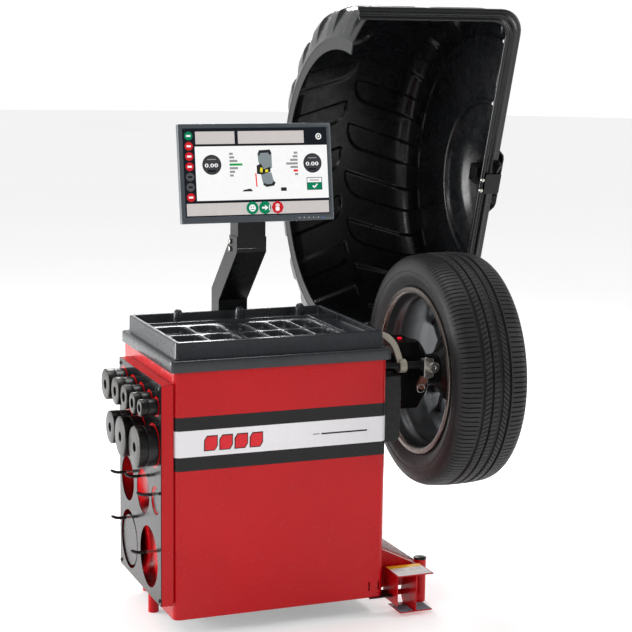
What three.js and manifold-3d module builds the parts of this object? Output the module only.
// Wheel balancer: cabinet with weight tray, spindle with a mounted wheel, swinging wheel guard,
// tilting display, measuring arm and brake pedal. Millimetres, +Z up, +X towards the wheel,
// +Y towards the back. Heights are measured from the floor.
import * as THREE from 'three';
import { mergeVertices } from 'three/addons/utils/BufferGeometryUtils.js';
import Module from 'manifold-3d';

const wasm = await Module();
wasm.setup();

// Driving dimensions
const GAP = 0.3;
const RUNNING = 0.8;
const SHEET = 3;
const CABINET = { width: 689.5, depth: 540, bottom: 66, top: 860, corner: 22 };
const TRAY = { skirt: 6, ledge: 865, rim: 916, deck: 908, inset: 16, wall: 9, pocketFloor: 884 };
const FRAME = { reach: 37.4, back: 462.6, front: 4, bottom: 113.8, top: 794.3 };
const SPINDLE = { y: 227, z: 738, radius: 25, nose: 895, flangeFace: 1020, tip: 1190, tipRadius: 20 };
const WHEEL = { inner: 878, rimRadius: 273, rimWidth: 228, tyreRadius: 381, tyreWidth: 246 };
const HOOD = { left: 704, width: 543, radius: 604, leftHole: 450, y: 487, z: 1315, lean: 16.9, setback: 17 };
const PIVOT = { y: 700, z: 845, radius: 19 };
const DISPLAY = { left: 114, width: 506, height: 308, y: 287, z: 1233, lean: 9 };
const ARM = { x: 370, width: 100, depth: 75 };
const ROD = { y: 72, z: 790, radius: 12.5 };
const PEDAL = { left: 733, right: 845, front: -35, back: 58, bottom: 14.5, webX: 785, pinY: 64, pinZ: 50 };

// Colours with their finish
const finishes = {
  redPaint: [0xb81f24, 0.3, 0.1],
  blackPlastic: [0x2c3136, 0.55, 0],
  blackPaint: [0x1c1d20, 0.45, 0.2],
  rubber: [0x242426, 0.85, 0],
  castRim: [0x3a3b3d, 0.35, 0.8],
  steel: [0xa9aaa6, 0.35, 0.9],
  castGrey: [0x9a958a, 0.5, 0.6],
  darkSteel: [0x4a4b4d, 0.4, 0.8],
  hammertone: [0x9b9a9c, 0.6, 0.3],
  glass: [0xe9ecee, 0.1, 0],
  copper: [0x9c5a34, 0.4, 0.9],
  circuit: [0x1f5a34, 0.6, 0],
  lamp: [0xe02020, 0.3, 0],
};

const assembly = new THREE.Group();

// Solids and booleans
function outward(geometry) {
  const position = geometry.attributes.position;
  const index = geometry.index.array;
  const [a, b, c] = [new THREE.Vector3(), new THREE.Vector3(), new THREE.Vector3()];
  let volume = 0;
  for (let i = 0; i < index.length; i += 3) {
    a.fromBufferAttribute(position, index[i]);
    b.fromBufferAttribute(position, index[i + 1]);
    c.fromBufferAttribute(position, index[i + 2]);
    volume += a.dot(b.cross(c));
  }
  if (volume < 0) {
    for (let i = 0; i < index.length; i += 3) {
      [index[i + 1], index[i + 2]] = [index[i + 2], index[i + 1]];
    }
  }
  return geometry;
}

function solid(geometry) {
  const bare = geometry.clone();
  bare.deleteAttribute('normal');
  bare.deleteAttribute('uv');
  const merged = outward(mergeVertices(bare, 1e-3));
  return new wasm.Manifold(new wasm.Mesh({
    numProp: 3,
    vertProperties: new Float32Array(merged.attributes.position.array),
    triVerts: new Uint32Array(merged.index.array),
  }));
}

function fromSolid(manifold) {
  const mesh = manifold.getMesh();
  const geometry = new THREE.BufferGeometry();
  geometry.setAttribute('position', new THREE.BufferAttribute(mesh.vertProperties, 3));
  geometry.setIndex(new THREE.BufferAttribute(mesh.triVerts, 1));
  geometry.computeVertexNormals();
  return geometry;
}

function join(...geometries) {
  const [first, ...rest] = geometries.map(solid);
  return fromSolid(rest.reduce((sum, piece) => sum.add(piece), first));
}

function cut(geometry, ...tools) {
  return fromSolid(tools.map(solid).reduce((sum, tool) => sum.subtract(tool), solid(geometry)));
}

// Basic shapes, each given by its limits in the machine's own frame
function block(x0, x1, y0, y1, z0, z1) {
  const box = new THREE.BoxGeometry(x1 - x0, y1 - y0, z1 - z0);
  return box.translate((x0 + x1) / 2, (y0 + y1) / 2, (z0 + z1) / 2);
}

// A round bar along one axis, from one coordinate to another
function bar(axis, radius, from, to, u, v, sides = 20) {
  const rod = new THREE.CylinderGeometry(radius, radius, to - from, sides);
  const middle = (from + to) / 2;
  if (axis === 'x') return rod.rotateZ(-Math.PI / 2).translate(middle, u, v);
  if (axis === 'y') return rod.translate(u, middle, v);
  return rod.rotateX(Math.PI / 2).translate(u, v, middle);
}

// A turned shape about an axis along X through (y, z); points are [x, radius]
function turned(points, y, z, sides) {
  const profile = points.map(([x, radius]) => new THREE.Vector2(radius, x));
  return outward(new THREE.LatheGeometry(profile, sides).rotateZ(-Math.PI / 2).translate(0, y, z));
}

function ring(x0, x1, inner, outer, y, z, sides = 16) {
  return turned([[x0, inner], [x1, inner], [x1, outer], [x0, outer], [x0, inner]], y, z, sides);
}

function extrude(shape, depth) {
  return new THREE.ExtrudeGeometry(shape, { depth, bevelEnabled: false, curveSegments: 2 });
}

function outline(points) {
  return new THREE.Shape(points.map(([x, y]) => new THREE.Vector2(x, y)));
}

// A profile drawn in the Y-Z plane, pulled along X
function sidePlate(points, x0, x1) {
  const basis = new THREE.Matrix4().makeBasis(
    new THREE.Vector3(0, 1, 0), new THREE.Vector3(0, 0, 1), new THREE.Vector3(1, 0, 0));
  return extrude(outline(points), x1 - x0).applyMatrix4(basis).translate(x0, 0, 0);
}

// A profile drawn in the X-Z plane, pulled along Y
function frontPlate(points, y0, y1) {
  const basis = new THREE.Matrix4().makeBasis(
    new THREE.Vector3(1, 0, 0), new THREE.Vector3(0, 0, 1), new THREE.Vector3(0, -1, 0));
  return extrude(outline(points), y1 - y0).applyMatrix4(basis).translate(0, y1, 0);
}

function roundedRectangle(x0, x1, y0, y1, radius) {
  const shape = new THREE.Shape();
  shape.moveTo(x0 + radius, y0);
  shape.lineTo(x1 - radius, y0);
  shape.absarc(x1 - radius, y0 + radius, radius, -Math.PI / 2, 0);
  shape.lineTo(x1, y1 - radius);
  shape.absarc(x1 - radius, y1 - radius, radius, 0, Math.PI / 2);
  shape.lineTo(x0 + radius, y1);
  shape.absarc(x0 + radius, y1 - radius, radius, Math.PI / 2, Math.PI);
  shape.lineTo(x0, y0 + radius);
  shape.absarc(x0 + radius, y0 + radius, radius, Math.PI, Math.PI * 1.5);
  return shape;
}

// An upright block with rounded vertical edges
function pillar(x0, x1, y0, y1, z0, z1, radius) {
  return extrude(roundedRectangle(x0, x1, y0, y1, radius), z1 - z0).translate(0, 0, z0);
}

// A bent bar of a given section along points joined by straight lines
function bentBar(points, radius, sides = 12) {
  const path = new THREE.CurvePath();
  for (let i = 1; i < points.length; i++) {
    path.add(new THREE.LineCurve3(new THREE.Vector3(...points[i - 1]), new THREE.Vector3(...points[i])));
  }
  const section = new THREE.Shape().absarc(0, 0, radius, 0, Math.PI * 2);
  return new THREE.ExtrudeGeometry(section, {
    steps: 4 * (points.length - 1), bevelEnabled: false, extrudePath: path, curveSegments: sides });
}

function curvedBar(points, radius, sides = 10, steps = 16) {
  const path = new THREE.CatmullRomCurve3(points.map((p) => new THREE.Vector3(...p)), false, 'centripetal');
  const section = new THREE.Shape().absarc(0, 0, radius, 0, Math.PI * 2);
  return new THREE.ExtrudeGeometry(section, {
    steps, bevelEnabled: false, extrudePath: path, curveSegments: sides });
}

function add(name, finish, geometry, parent = assembly) {
  const [color, roughness, metalness] = finishes[finish];
  const mesh = new THREE.Mesh(geometry, new THREE.MeshStandardMaterial({ color, roughness, metalness }));
  mesh.name = name;
  parent.add(mesh);
  return mesh;
}

// Cabinet: wrapped sheet-steel shell, back panel, floor pan and the parts it stands on
function buildCabinet() {
  const { width, depth, bottom, top, corner } = CABINET;
  const shell = cut(
    pillar(0, width, 0, depth + corner, bottom, top, corner),
    pillar(SHEET, width - SHEET, SHEET, depth + 2 * corner, bottom - 10, top - SHEET, corner - SHEET),
    block(-10, width + 10, depth, depth + 3 * corner, bottom - 20, top + 10),
    bar('x', 55, width - 10, width + 10, SPINDLE.y, SPINDLE.z),
    bar('x', ROD.radius + 5, width - 10, width + 10, ROD.y, ROD.z),
  );
  add('cabinet_shell', 'redPaint', shell);

  const inside = SHEET + GAP;
  const panelBack = depth - GAP;
  add('back_panel', 'redPaint', block(inside, width - inside, panelBack - SHEET, panelBack,
    bottom + inside, top - inside));
  add('floor_pan', 'blackPaint', pillar(inside, width - inside, inside, panelBack - SHEET - GAP,
    bottom, bottom + SHEET, corner - SHEET));

  const legTop = bottom - GAP;
  add('left_leg', 'redPaint', bar('z', 17, 0, legTop, 19, 285));
  for (const [side, x] of [['left', 60], ['right', 630]]) {
    add(`rear_leg_${side}`, 'redPaint', bar('z', 17, 0, legTop, x, 490));
  }
}

// Welded leg that carries the spindle side: sloping gusset, grey brace and capped post
function buildOutrigger() {
  const { width, bottom } = CABINET;
  const post = { x: 862, y: 100, radius: 20, top: 141 };
  const wall = width + GAP;
  const end = post.x - post.radius - GAP;
  const hollow = 40;
  const gusset = frontPlate([[wall, bottom], [end, bottom], [end, 134], [wall, 211]], 79, 116);
  const inside = frontPlate([[wall - 5, bottom - hollow], [end + 5, bottom - hollow],
    [end + 5, 128], [wall - 5, 208]], 82, 113);
  const { pinY, pinZ } = PEDAL;
  const lug = cut(sidePlate([[pinY - 9, pinZ - 9], [pinY + 9, pinZ - 9], [80, 67], [80, 118],
    [pinY - 9, pinZ + 20]], 801, 804), bar('x', 5.3, 790, 820, pinY, pinZ, 12));
  add('outrigger_gusset', 'redPaint', join(cut(gusset, inside), lug));
  add('outrigger_brace', 'hammertone', frontPlate(
    [[wall, bottom + 80], [wall + 40, bottom + 80], [870, 105], [870, 119], [wall, 249]], 120.5, 132));
  add('outrigger_post', 'redPaint', bar('z', post.radius, 0, post.top, post.x, post.y));
  add('post_cap', 'blackPlastic', turnedUp([[0, 0], [post.radius + 1, 0], [post.radius + 1, 3],
    [post.radius - 5, 7], [0, 8]], post.x, post.y, post.top + GAP));
}

// A turned shape about a vertical axis; points are [radius, height]
function turnedUp(points, x, y, z, sides = 20) {
  const profile = points.map(([radius, height]) => new THREE.Vector2(radius, height));
  return outward(new THREE.LatheGeometry(profile, sides).rotateX(Math.PI / 2).translate(x, y, z));
}

// Moulded weight tray: skirt over the cabinet, raised rim, pockets, a tool trough and three pegs
function buildTray() {
  const { width, depth, top } = CABINET;
  const { skirt, ledge, rim, deck, inset, wall, pocketFloor } = TRAY;
  const left = inset + wall;
  const right = width - inset - wall;
  const tools = [
    block(-GAP, width + GAP, -GAP, depth + GAP, 800, top + GAP),
    pillar(left, right, 355, depth - 22, deck - 24, rim + 10, 10),
    pillar(565, right, 34, 350, deck - 12, rim + 10, 8),
    pillar(left, 560, 34, 350, deck, rim + 10, 4),
  ];
  const pocket = (x0, x1, y0, y1) => {
    tools.push(pillar(x0, x1, y0, y1, pocketFloor, rim + 10, 12));
  };
  for (const [x0, x1] of [[34, 130], [140, 236]]) {
    pocket(x0, x1, 48, 170);
    pocket(x0, x1, 182, 320);
  }
  const columns = 4;
  const first = 258;
  const pitch = 75;
  for (let column = 0; column < columns; column++) {
    const x0 = first + column * pitch;
    pocket(x0, x0 + pitch - 9, 48, 170);
    pocket(x0, x0 + pitch - 9, 182, 320);
  }
  const body = join(
    pillar(-skirt, width + skirt, -skirt, depth + skirt, 829.6, ledge, 14),
    pillar(inset, width - inset, inset, depth - inset + 6, ledge - 1, rim, 12),
  );
  const pegs = [151, 360, 569].map((x) => turnedUp(
    [[0, 0], [16.5, 0], [14.5, 46], [10, 54], [0, 57]], x, 450, deck - 25, 16));
  add('weight_tray', 'blackPlastic', join(cut(body, ...tools), ...pegs));
}

// Accessory side: folded frame with hooks welded to its back wall, punched board, centring collets
function buildAccessories() {
  const { reach, front, back, bottom, top } = FRAME;
  const frame = cut(
    block(-reach, -GAP, front, back, bottom, top),
    block(-reach - 5, -GAP - SHEET, front + SHEET, back - SHEET, bottom + SHEET, top - SHEET),
  );
  const wall = -GAP - SHEET;
  const hooks = [[365, 442], [193, 473], [68, 448], [361, 294], [132, 249]].map(([y, z]) => curvedBar(
    [[wall + 1, y, z], [-50, y, z], [-80, y, z + 2], [-97, y, z + 10]], 4, 4, 6));
  add('accessory_frame', 'redPaint', join(frame, ...hooks));

  const outer = -reach - GAP;
  const holes = [[369, 420, 71], [194, 424, 69], [60, 430, 44], [352, 226, 94], [133, 234, 95]];
  const board = cut(
    block(outer - 2, outer, front, back, bottom, top),
    ...holes.map(([y, z, radius]) => bar('x', radius, outer - 5, outer + 3, y, z, 20)),
  );
  add('accessory_board', 'blackPaint', board);

  // Stepped collets, largest at the back; each slides over a short peg on the board
  const face = outer - 2 - GAP;
  const collets = [
    [405, 721, 49, 62], [297, 721, 43, 60], [207, 721, 37.5, 57], [120, 721, 32.5, 55], [48, 721, 26, 53],
    [347, 596, 52, 63], [217, 596, 62, 66], [78, 596, 63, 60],
  ];
  collets.forEach(([y, z, radius, length], i) => {
    const tip = face - length;
    const bore = Math.min(15, radius * 0.42);
    const step = tip + length * 0.42;
    const profile = [[face, bore], [tip, bore], [tip, radius - 4], [tip + 4, radius], [step, radius],
      [step, radius - 3], [face, radius - 5], [face, bore]];
    add(`centring_collet_${i + 1}`, 'darkSteel', turned(profile, y, z, 14));
  });
}

// Spindle housing, direct-drive motor and bearings, all outside the cabinet's right wall
function buildSpindleHousing() {
  const { y, z, nose, radius } = SPINDLE;
  const wall = CABINET.width + GAP;
  const drum = 790;
  const half = 108;
  const chamfer = 38;
  const eight = [[half, half - chamfer], [half - chamfer, half], [chamfer - half, half],
    [-half, half - chamfer], [-half, chamfer - half], [chamfer - half, -half],
    [half - chamfer, -half], [half, chamfer - half]].map(([a, b]) => [y + a, z + b]);
  const body = join(
    bar('x', 60, wall, drum + 5, y, z, 16),
    sidePlate(eight, drum, nose - 30),
    turned([[nose - 31, 0], [nose - 31, 104], [nose - 8, 104], [nose, 92], [nose, 0]], y, z, 22),
  );
  add('spindle_housing', 'blackPaint', cut(body,
    bar('x', 48, wall - 5, drum + 8, y, z, 16),
    bar('x', 90, drum + 6, nose - 45, y, z, 18),
    bar('x', 36.3, drum, nose - 20, y, z, 16),
    bar('x', 27, drum, nose + 5, y, z, 16)));
  add('laser_lamp', 'lamp', block(823, 837, y - 6, y + 6, z + half + GAP, z + half + 5));

  add('rear_bearing', 'steel', ring(wall + 10, wall + 30, radius + RUNNING, 47, y, z));
  add('front_bearing', 'steel', ring(nose - 42, nose - 22, radius + RUNNING, 36, y, z));
  add('motor_stator', 'copper', ring(drum + 9, drum + 53, 68, 89.7, y, z, 18));
}

// Everything that turns with the spindle, with a road wheel clamped on it
function buildSpindle() {
  const { y, z, radius, nose, flangeFace, tip, tipRadius } = SPINDLE;
  const start = CABINET.width + 12;
  const shoulder = flangeFace - 30;
  add('spindle_shaft', 'steel', turned([[start, 0], [start, radius], [shoulder, radius],
    [shoulder, tipRadius], [tip - 4, tipRadius], [tip, tipRadius - 4], [tip, 0]], y, z, 20));
  add('motor_rotor', 'darkSteel', ring(800, 842, radius + RUNNING, 66, y, z, 18));
  add('encoder_disc', 'circuit', ring(730, 733, radius + RUNNING, 42, y, z));
  add('backing_flange', 'darkSteel', turned([[nose + 3, radius + RUNNING], [nose + 3, 48], [960, 52],
    [1000, 96], [1008, 110], [flangeFace, 110], [flangeFace, 88], [1004, 60], [shoulder, 40],
    [shoulder, radius + RUNNING], [nose + 3, radius + RUNNING]], y, z, 20));
  add('centring_cone', 'darkSteel', turned([[shoulder + 8, tipRadius + RUNNING], [shoulder + 8, 42],
    [shoulder + 16, 42], [flangeFace + 22, 28], [flangeFace + 22, tipRadius + RUNNING],
    [shoulder + 8, tipRadius + RUNNING]], y, z, 20));
  buildWheel();
}

// Cast alloy wheel as a barrel and a hub with five split spokes, and the tyre on it
function buildWheel() {
  const { y, z, flangeFace } = SPINDLE;
  const { inner, rimRadius, rimWidth, tyreRadius, tyreWidth } = WHEEL;
  const sides = 30;
  const outer = inner + rimWidth;
  const bead = rimRadius - 16;
  const well = bead - 14;
  const skin = 7;
  const barrel = turned([
    [inner, rimRadius], [inner + 8, rimRadius], [inner + 12, bead], [inner + 48, bead], [inner + 62, well],
    [outer - 90, well], [outer - 56, bead], [outer - 12, bead], [outer - 8, rimRadius], [outer, rimRadius],
    [outer, bead - skin], [outer - 56, bead - skin], [outer - 88, well - skin],
    [inner + 60, well - skin], [inner + 44, bead - skin], [inner, bead - skin], [inner, rimRadius],
  ], y, z, sides);
  const hub = turned([[flangeFace + GAP, 37.5], [flangeFace + GAP, 78], [flangeFace + 42, 78],
    [flangeFace + 46, 66], [flangeFace + 46, 37.5], [flangeFace + GAP, 37.5]], y, z, 22);
  const spokes = [];
  const count = 5;
  const reach = (bead - skin) * Math.cos(Math.PI / sides) - 2 * GAP;
  for (let i = 0; i < count; i++) {
    for (const side of [-1, 1]) {
      const spoke = frontPlate([[flangeFace + 4, 60], [flangeFace + 40, 60], [outer - 6, reach],
        [outer - 46, reach]], -11, 11);
      spoke.rotateX(side * 0.16 + (i * 2 * Math.PI) / count + 0.3);
      spokes.push(spoke.translate(0, y, z));
    }
  }
  add('wheel_rim', 'castRim', barrel);
  add('wheel_spokes', 'castRim', join(hub, ...spokes));

  const middle = inner + rimWidth / 2;
  const half = tyreWidth / 2;
  const seat = bead + GAP;
  const beadHalf = rimWidth / 2 - 12 - GAP;
  const tyre = turned([
    [middle - beadHalf, seat], [middle - beadHalf, rimRadius - 4], [middle - beadHalf - 6, rimRadius + 6],
    [middle - half, rimRadius + 42], [middle - half + 4, tyreRadius - 36], [middle - half + 17, tyreRadius - 10],
    [middle - half + 34, tyreRadius], [middle + half - 34, tyreRadius], [middle + half - 17, tyreRadius - 10],
    [middle + half - 4, tyreRadius - 36], [middle + half, rimRadius + 42], [middle + beadHalf + 6, rimRadius + 6],
    [middle + beadHalf, rimRadius - 4], [middle + beadHalf, seat], [middle + beadHalf - 22, seat],
    [middle + half - 22, tyreRadius - 40], [middle + half - 40, tyreRadius - 14],
    [middle - half + 40, tyreRadius - 14], [middle - half + 22, tyreRadius - 40],
    [middle - beadHalf + 22, seat], [middle - beadHalf, seat],
  ], y, z, sides);
  add('tyre', 'rubber', tyre);
}

// Quick nut and pressure cup that hold the wheel; they slide along the spindle's outer end
function buildClamp() {
  const { y, z, flangeFace, tipRadius } = SPINDLE;
  const hubFace = flangeFace + 46 + GAP;
  const bore = tipRadius + RUNNING;
  const cupEnd = hubFace + 34;
  add('pressure_cup', 'blackPlastic', turned([[hubFace, 60], [hubFace, 68], [cupEnd - 8, 60], [cupEnd, 46],
    [cupEnd, bore], [cupEnd - 10, bore], [cupEnd - 14, 50], [hubFace, 60]], y, z, 18));
  const nut = ring(cupEnd + GAP, cupEnd + 44, bore, 38, y, z, 16);
  const grips = [0, 1].map((i) => block(cupEnd + 12, cupEnd + 34, -9, 9, 34, 78)
    .rotateX(Math.PI * i + 0.4).translate(0, y, z));
  add('quick_nut', 'blackPlastic', join(nut, ...grips));
}

// Side cover under the measuring arm
function buildSideCover() {
  const wall = CABINET.width + GAP;
  const cover = frontPlate([[wall, 558], [735, 558], [744, 562], [748, 571], [748, 768], [wall, 768]], 30, 110);
  const inside = frontPlate([[wall - 5, 561], [733, 561], [742, 565], [745, 573], [745, 765], [wall - 5, 765]],
    33, 107);
  add('side_cover', 'blackPlastic', cut(cover, inside));
}

// Measuring arm: sliding rod with handle, and a gauge head inside the wheel
function buildMeasuringArm() {
  const { y, z, radius } = ROD;
  const wall = CABINET.width;
  const bush = cut(join(bar('x', radius + 11, wall - SHEET - 28, wall - SHEET - GAP, y, z),
    bar('x', radius + 4.5, wall - SHEET - 10, wall + 6, y, z)),
    bar('x', radius + GAP, wall - 60, wall + 20, y, z));
  add('rod_bush', 'blackPlastic', bush);
  add('measuring_rod', 'blackPaint', bar('x', radius, 450, 838, y, z));

  // The lever rises from the rod and leans back over the tray's edge
  const centreLine = [[768, z - 2], [753, 830], [736, 864], [717, 885], [702, 892]];
  const halfWidth = 9;
  const upperSide = centreLine.map(([px, pz]) => [px + halfWidth, pz + halfWidth * 0.7]);
  const lowerSide = centreLine.map(([px, pz]) => [px - halfWidth, pz - halfWidth * 0.7]).reverse();
  const lever = join(frontPlate([...upperSide, ...lowerSide], y - 5, y + 5), bar('x', 21, 756, 780, y, z, 20));
  add('arm_handle', 'castGrey', cut(lever, bar('x', radius + GAP, 740, 790, y, z)));

  const headEnd = 866;
  const bracket = join(block(840, headEnd, y - 15, y + 15, z - 18, z + 18),
    block(840, 872, y - 17, y - 9, z - 40, z + 20), block(848, 866, y - 14, y + 4, z - 44, z - 14));
  add('gauge_head', 'steel', cut(bracket, bar('x', radius + GAP, 830, 856, y, z, 16)));
  add('gauge_knob', 'steel', cut(bar('y', 17, y - 34, y - 17 - GAP, 878 - 12, z - 6, 24),
    bar('y', 5, y - 40, y - 26, 878 - 12, z - 6, 12)));
  add('gauge_block', 'copper', block(846, 868, y - 13, y + 3, z - 84, z - 44 - GAP));
}

// Wheel guard: moulded half drum with one closed side, carried by a bent tube
function buildHood() {
  const { left, width, radius, leftHole, y, z, lean, setback } = HOOD;
  const right = left + width;
  const wall = 4;
  const sides = 40;
  const hub = right + 77;
  const profile = [
    [left, leftHole], [left, radius - 114], [left + 26, radius - 48], [left + 46, radius - 16],
    [left + 71, radius], [right - 67, radius], [right - 32, radius - 4], [right - 15, radius - 16],
    [right - 4, radius - 34], [right, radius - 59], [right, 265], [right + 9, 170], [right + 28, 140],
    [right + 53, 115], [hub, 85], [hub, 0],
    [hub - wall, 0], [hub - wall, 83], [right + 50, 112], [right + 25, 137], [right + 5, 168],
    [right - wall, 264], [right - wall, radius - 59], [right - 8, radius - 36], [right - 18, radius - 19],
    [right - 34, radius - 8], [right - 67, radius - wall], [left + 72, radius - wall],
    [left + 49, radius - 19], [left + 30, radius - 50], [left + wall, radius - 115],
    [left + wall, leftHole], [left, leftHole],
  ];
  const big = 2 * radius;
  const behind = block(left - 50, right + 100, setback - big, setback, -big, big);
  const drum = cut(turned(profile, 0, 0, sides), behind);
  const cap = Math.sqrt(radius * radius - setback * setback) + 2;
  const innerUpper = [
    [left + 8, leftHole], [left + 8, cap - 54], [left + 20, cap - 42], [right - 59, cap - 42],
    [right - 20, cap - 60], [right - wall, cap - 98],
  ];
  const outerUpper = [
    [left, leftHole], [left, cap - 8], [left + 10, cap], [right - 29, cap], [right + 3, cap - 7],
    [right + 30, cap - 25], [right + 48, cap - 52], [right + 55, cap - 84],
  ];
  const below = (points) => points.map(([px, pz]) => [px, -pz]);
  const rim = frontPlate([
    ...outerUpper, ...below(outerUpper).reverse(), ...below(innerUpper), ...innerUpper.toReversed(),
  ], setback - 10, setback + 4);
  const group = new THREE.Group();
  group.position.set(0, y, z);
  group.rotation.x = THREE.MathUtils.degToRad(lean);
  assembly.add(group);
  add('hood_shell', 'blackPlastic', join(drum, rim), group);

  const front = setback - 10 - GAP;
  add('hood_clamp_plate', 'blackPaint', block(right + 10, right + 69, front - 4, front, -43, 27), group);
  buildHoodMount(right);
}

function buildHoodMount(hoodRight) {
  const { y, z, radius } = PIVOT;
  const plates = [[430, 436], [570, 576]];
  const back = CABINET.depth + TRAY.skirt + GAP;
  const profile = [[back, 560], [back, 828], [y - 30, z + 20], [y, z + 34], [y + 30, z + 16], [y + 30, z - 20]];
  const cheek = ([x0, x1]) => sidePlate(profile, x0, x1);
  const web = block(430, 576, back, back + 6, 560, 826);
  add('hood_bracket', 'redPaint', cut(join(web, ...plates.map(cheek)),
    bar('x', radius + RUNNING, 400, 600, y, z, 16)));
  add('hood_pivot_shaft', 'steel', bar('x', radius, 420, 655, y, z, 20));
  const tubeRadius = 19;
  const tubeX = hoodRight + 4 + 2 * GAP + tubeRadius;
  const arm = join(
    cut(bar('x', 30, 610, 650, y, z, 16), bar('x', radius + RUNNING, 600, 660, y, z, 16)),
    bentBar([[630, y + 16, z - 22], [630, 805, 728]], tubeRadius, 4),
    bar('x', tubeRadius, 630, tubeX, 805, 728, 16),
    bentBar([[tubeX, 805, 728], [tubeX, 668, 1100]], tubeRadius, 4),
    sphere(630, 805, 728, tubeRadius + 0.4), sphere(tubeX, 805, 728, tubeRadius + 0.4),
    sidePlate([[600, 1062], [640, 1030], [740, 1050], [765, 1120], [750, 1185]],
      hoodRight + GAP, hoodRight + 4 + 3 * GAP),
  );
  add('hood_arm', 'blackPaint', arm);
}

function sphere(x, y, z, radius) {
  return new THREE.SphereGeometry(radius, 12, 6).translate(x, y, z);
}

// Display on a bent channel arm; the upper arm tilts about the upper of its two side bolts
function buildDisplay() {
  const { x, width, depth } = ARM;
  const back = CABINET.depth + TRAY.skirt + GAP;
  const lean = depth * Math.tan(Math.PI / 8);
  const front = [[back, 640], [back, 946], [367, 1127], [367, 1176]];
  const rear = [[367 + depth, 1176], [367 + depth, 1127 + lean], [back + depth, 946 + lean], [back + depth, 640]];
  const x0 = x - width / 2;
  const x1 = x + width / 2;
  const hollow = [[back + SHEET, 630], [back + SHEET, 945], [367 + SHEET, 1126], [367 + SHEET, 1128],
    [360, 1128], [360, 1190], [500, 1190], [500, 1156], [back + depth + 5, 946 + lean], [back + depth + 5, 630]];
  add('display_arm', 'blackPaint', cut(sidePlate([...front, ...rear], x0, x1),
    sidePlate(hollow, x0 + SHEET, x1 - SHEET), bar('x', 6.3, x0 - 5, x1 + 5, 428, 1156, 12)));

  const inner = SHEET + GAP;
  const u0 = x0 + inner;
  const u1 = x1 - inner;
  const upper = cut(
    sidePlate([[367, 1139], [367, 1246], [396, 1430], [436, 1424], [442, 1240], [442, 1140]], u0, u1),
    sidePlate([[367 + SHEET, 1120], [367 + SHEET, 1246], [400, 1450], [470, 1450], [470, 1120]],
      u0 + SHEET, u1 - SHEET),
    bar('x', 6.3, x0 - 5, x1 + 5, 428, 1156, 12),
  );
  add('display_upper_arm', 'blackPaint', upper);
  add('tilt_bolt', 'steel', join(bar('x', 6, x0 - 2, x1 + 2, 428, 1156, 12),
    bar('x', 10, x0 - 6, x0 - GAP, 428, 1156, 6), bar('x', 10, x1 + GAP, x1 + 6, 428, 1156, 6)));

  // The display's own frame: X across, Y away from the viewer, Z up the screen
  const { left, width: wide, height: high, y, z, lean: tilt } = DISPLAY;
  const group = new THREE.Group();
  group.position.set(left, y, z);
  group.rotation.x = -THREE.MathUtils.degToRad(tilt);
  assembly.add(group);
  const edge = 14;
  const casing = cut(
    join(frontPlate([[0, 0], [wide, 0], [wide, high], [0, high]], 0, 20),
      frontPlate([[60, 40], [wide - 60, 40], [wide - 60, high - 40], [60, high - 40]], 19, 46)),
    frontPlate([[edge, edge + 6], [wide - edge, edge + 6], [wide - edge, high - edge], [edge, high - edge]], -5, 3),
  );
  add('display_casing', 'blackPlastic', casing, group);
  add('display_screen', 'glass', block(edge + GAP, wide - edge - GAP, 0.6, 3 - GAP,
    edge + 6 + GAP, high - edge - GAP), group);
  const centre = wide / 2 + 3;
  const armFront = 76.5;
  add('display_mount', 'blackPaint', join(
    block(centre - 50, centre + 50, 46 + GAP, 49, high / 2 - 50, high / 2 + 50),
    block(centre - 30, centre + 30, 48, armFront - GAP, high / 2 - 40, high / 2 + 40)), group);
}

// Brake pedal between the guard plate and the floor, with its pin and return spring
function buildPedal() {
  const { left, right, front, back, bottom, webX, pinY, pinZ } = PEDAL;
  const guard = join(block(722, 846, -38, 75, 134, 137), block(722, 725, -34, 75, 38, 136));
  add('pedal_guard', 'redPaint', cut(guard, bar('x', 5.3, 700, 750, pinY, pinZ, 12)));
  add('guard_strap', 'blackPaint', block(640, 721.7, -4, 60, 61, 65.5));

  const tread = 3;
  const web = sidePlate([[front - 5, bottom + 2], [front - 5, 132], [44, 132], [72, 62], [72, 40],
    [back, bottom + 2]], webX - 1.5, webX + 1.5);
  const pedal = join(block(left, right, front, back, bottom, bottom + tread), web,
    bar('x', 9, 735, 798, pinY, pinZ, 16));
  add('brake_pedal', 'redPaint', cut(pedal, bar('x', 5.3, 700, 850, pinY, pinZ, 12)));
  add('pedal_pin', 'steel', bar('x', 5, 719, 806, pinY, pinZ, 12));
}

// Control electronics inside the cabinet and the power inlet on its back
function buildElectronics() {
  const back = CABINET.depth - GAP - SHEET;
  add('control_box', 'blackPlastic', block(150, 360, back - 70, back - GAP, 300, 560));
  add('power_inlet', 'blackPlastic', block(90, 140, CABINET.depth, CABINET.depth + 14, 250, 300));
}

buildCabinet();
buildOutrigger();
buildTray();
buildAccessories();
buildSpindleHousing();
buildSpindle();
buildClamp();
buildSideCover();
buildMeasuringArm();
buildHood();
buildDisplay();
buildPedal();
buildElectronics();

// The origin sits under the middle of the machine's box, on the floor
assembly.updateMatrixWorld(true);
const bounds = new THREE.Box3().setFromObject(assembly, true);
const centre = bounds.getCenter(new THREE.Vector3());
assembly.position.set(-centre.x, -centre.y, -bounds.min.z);

export default assembly;
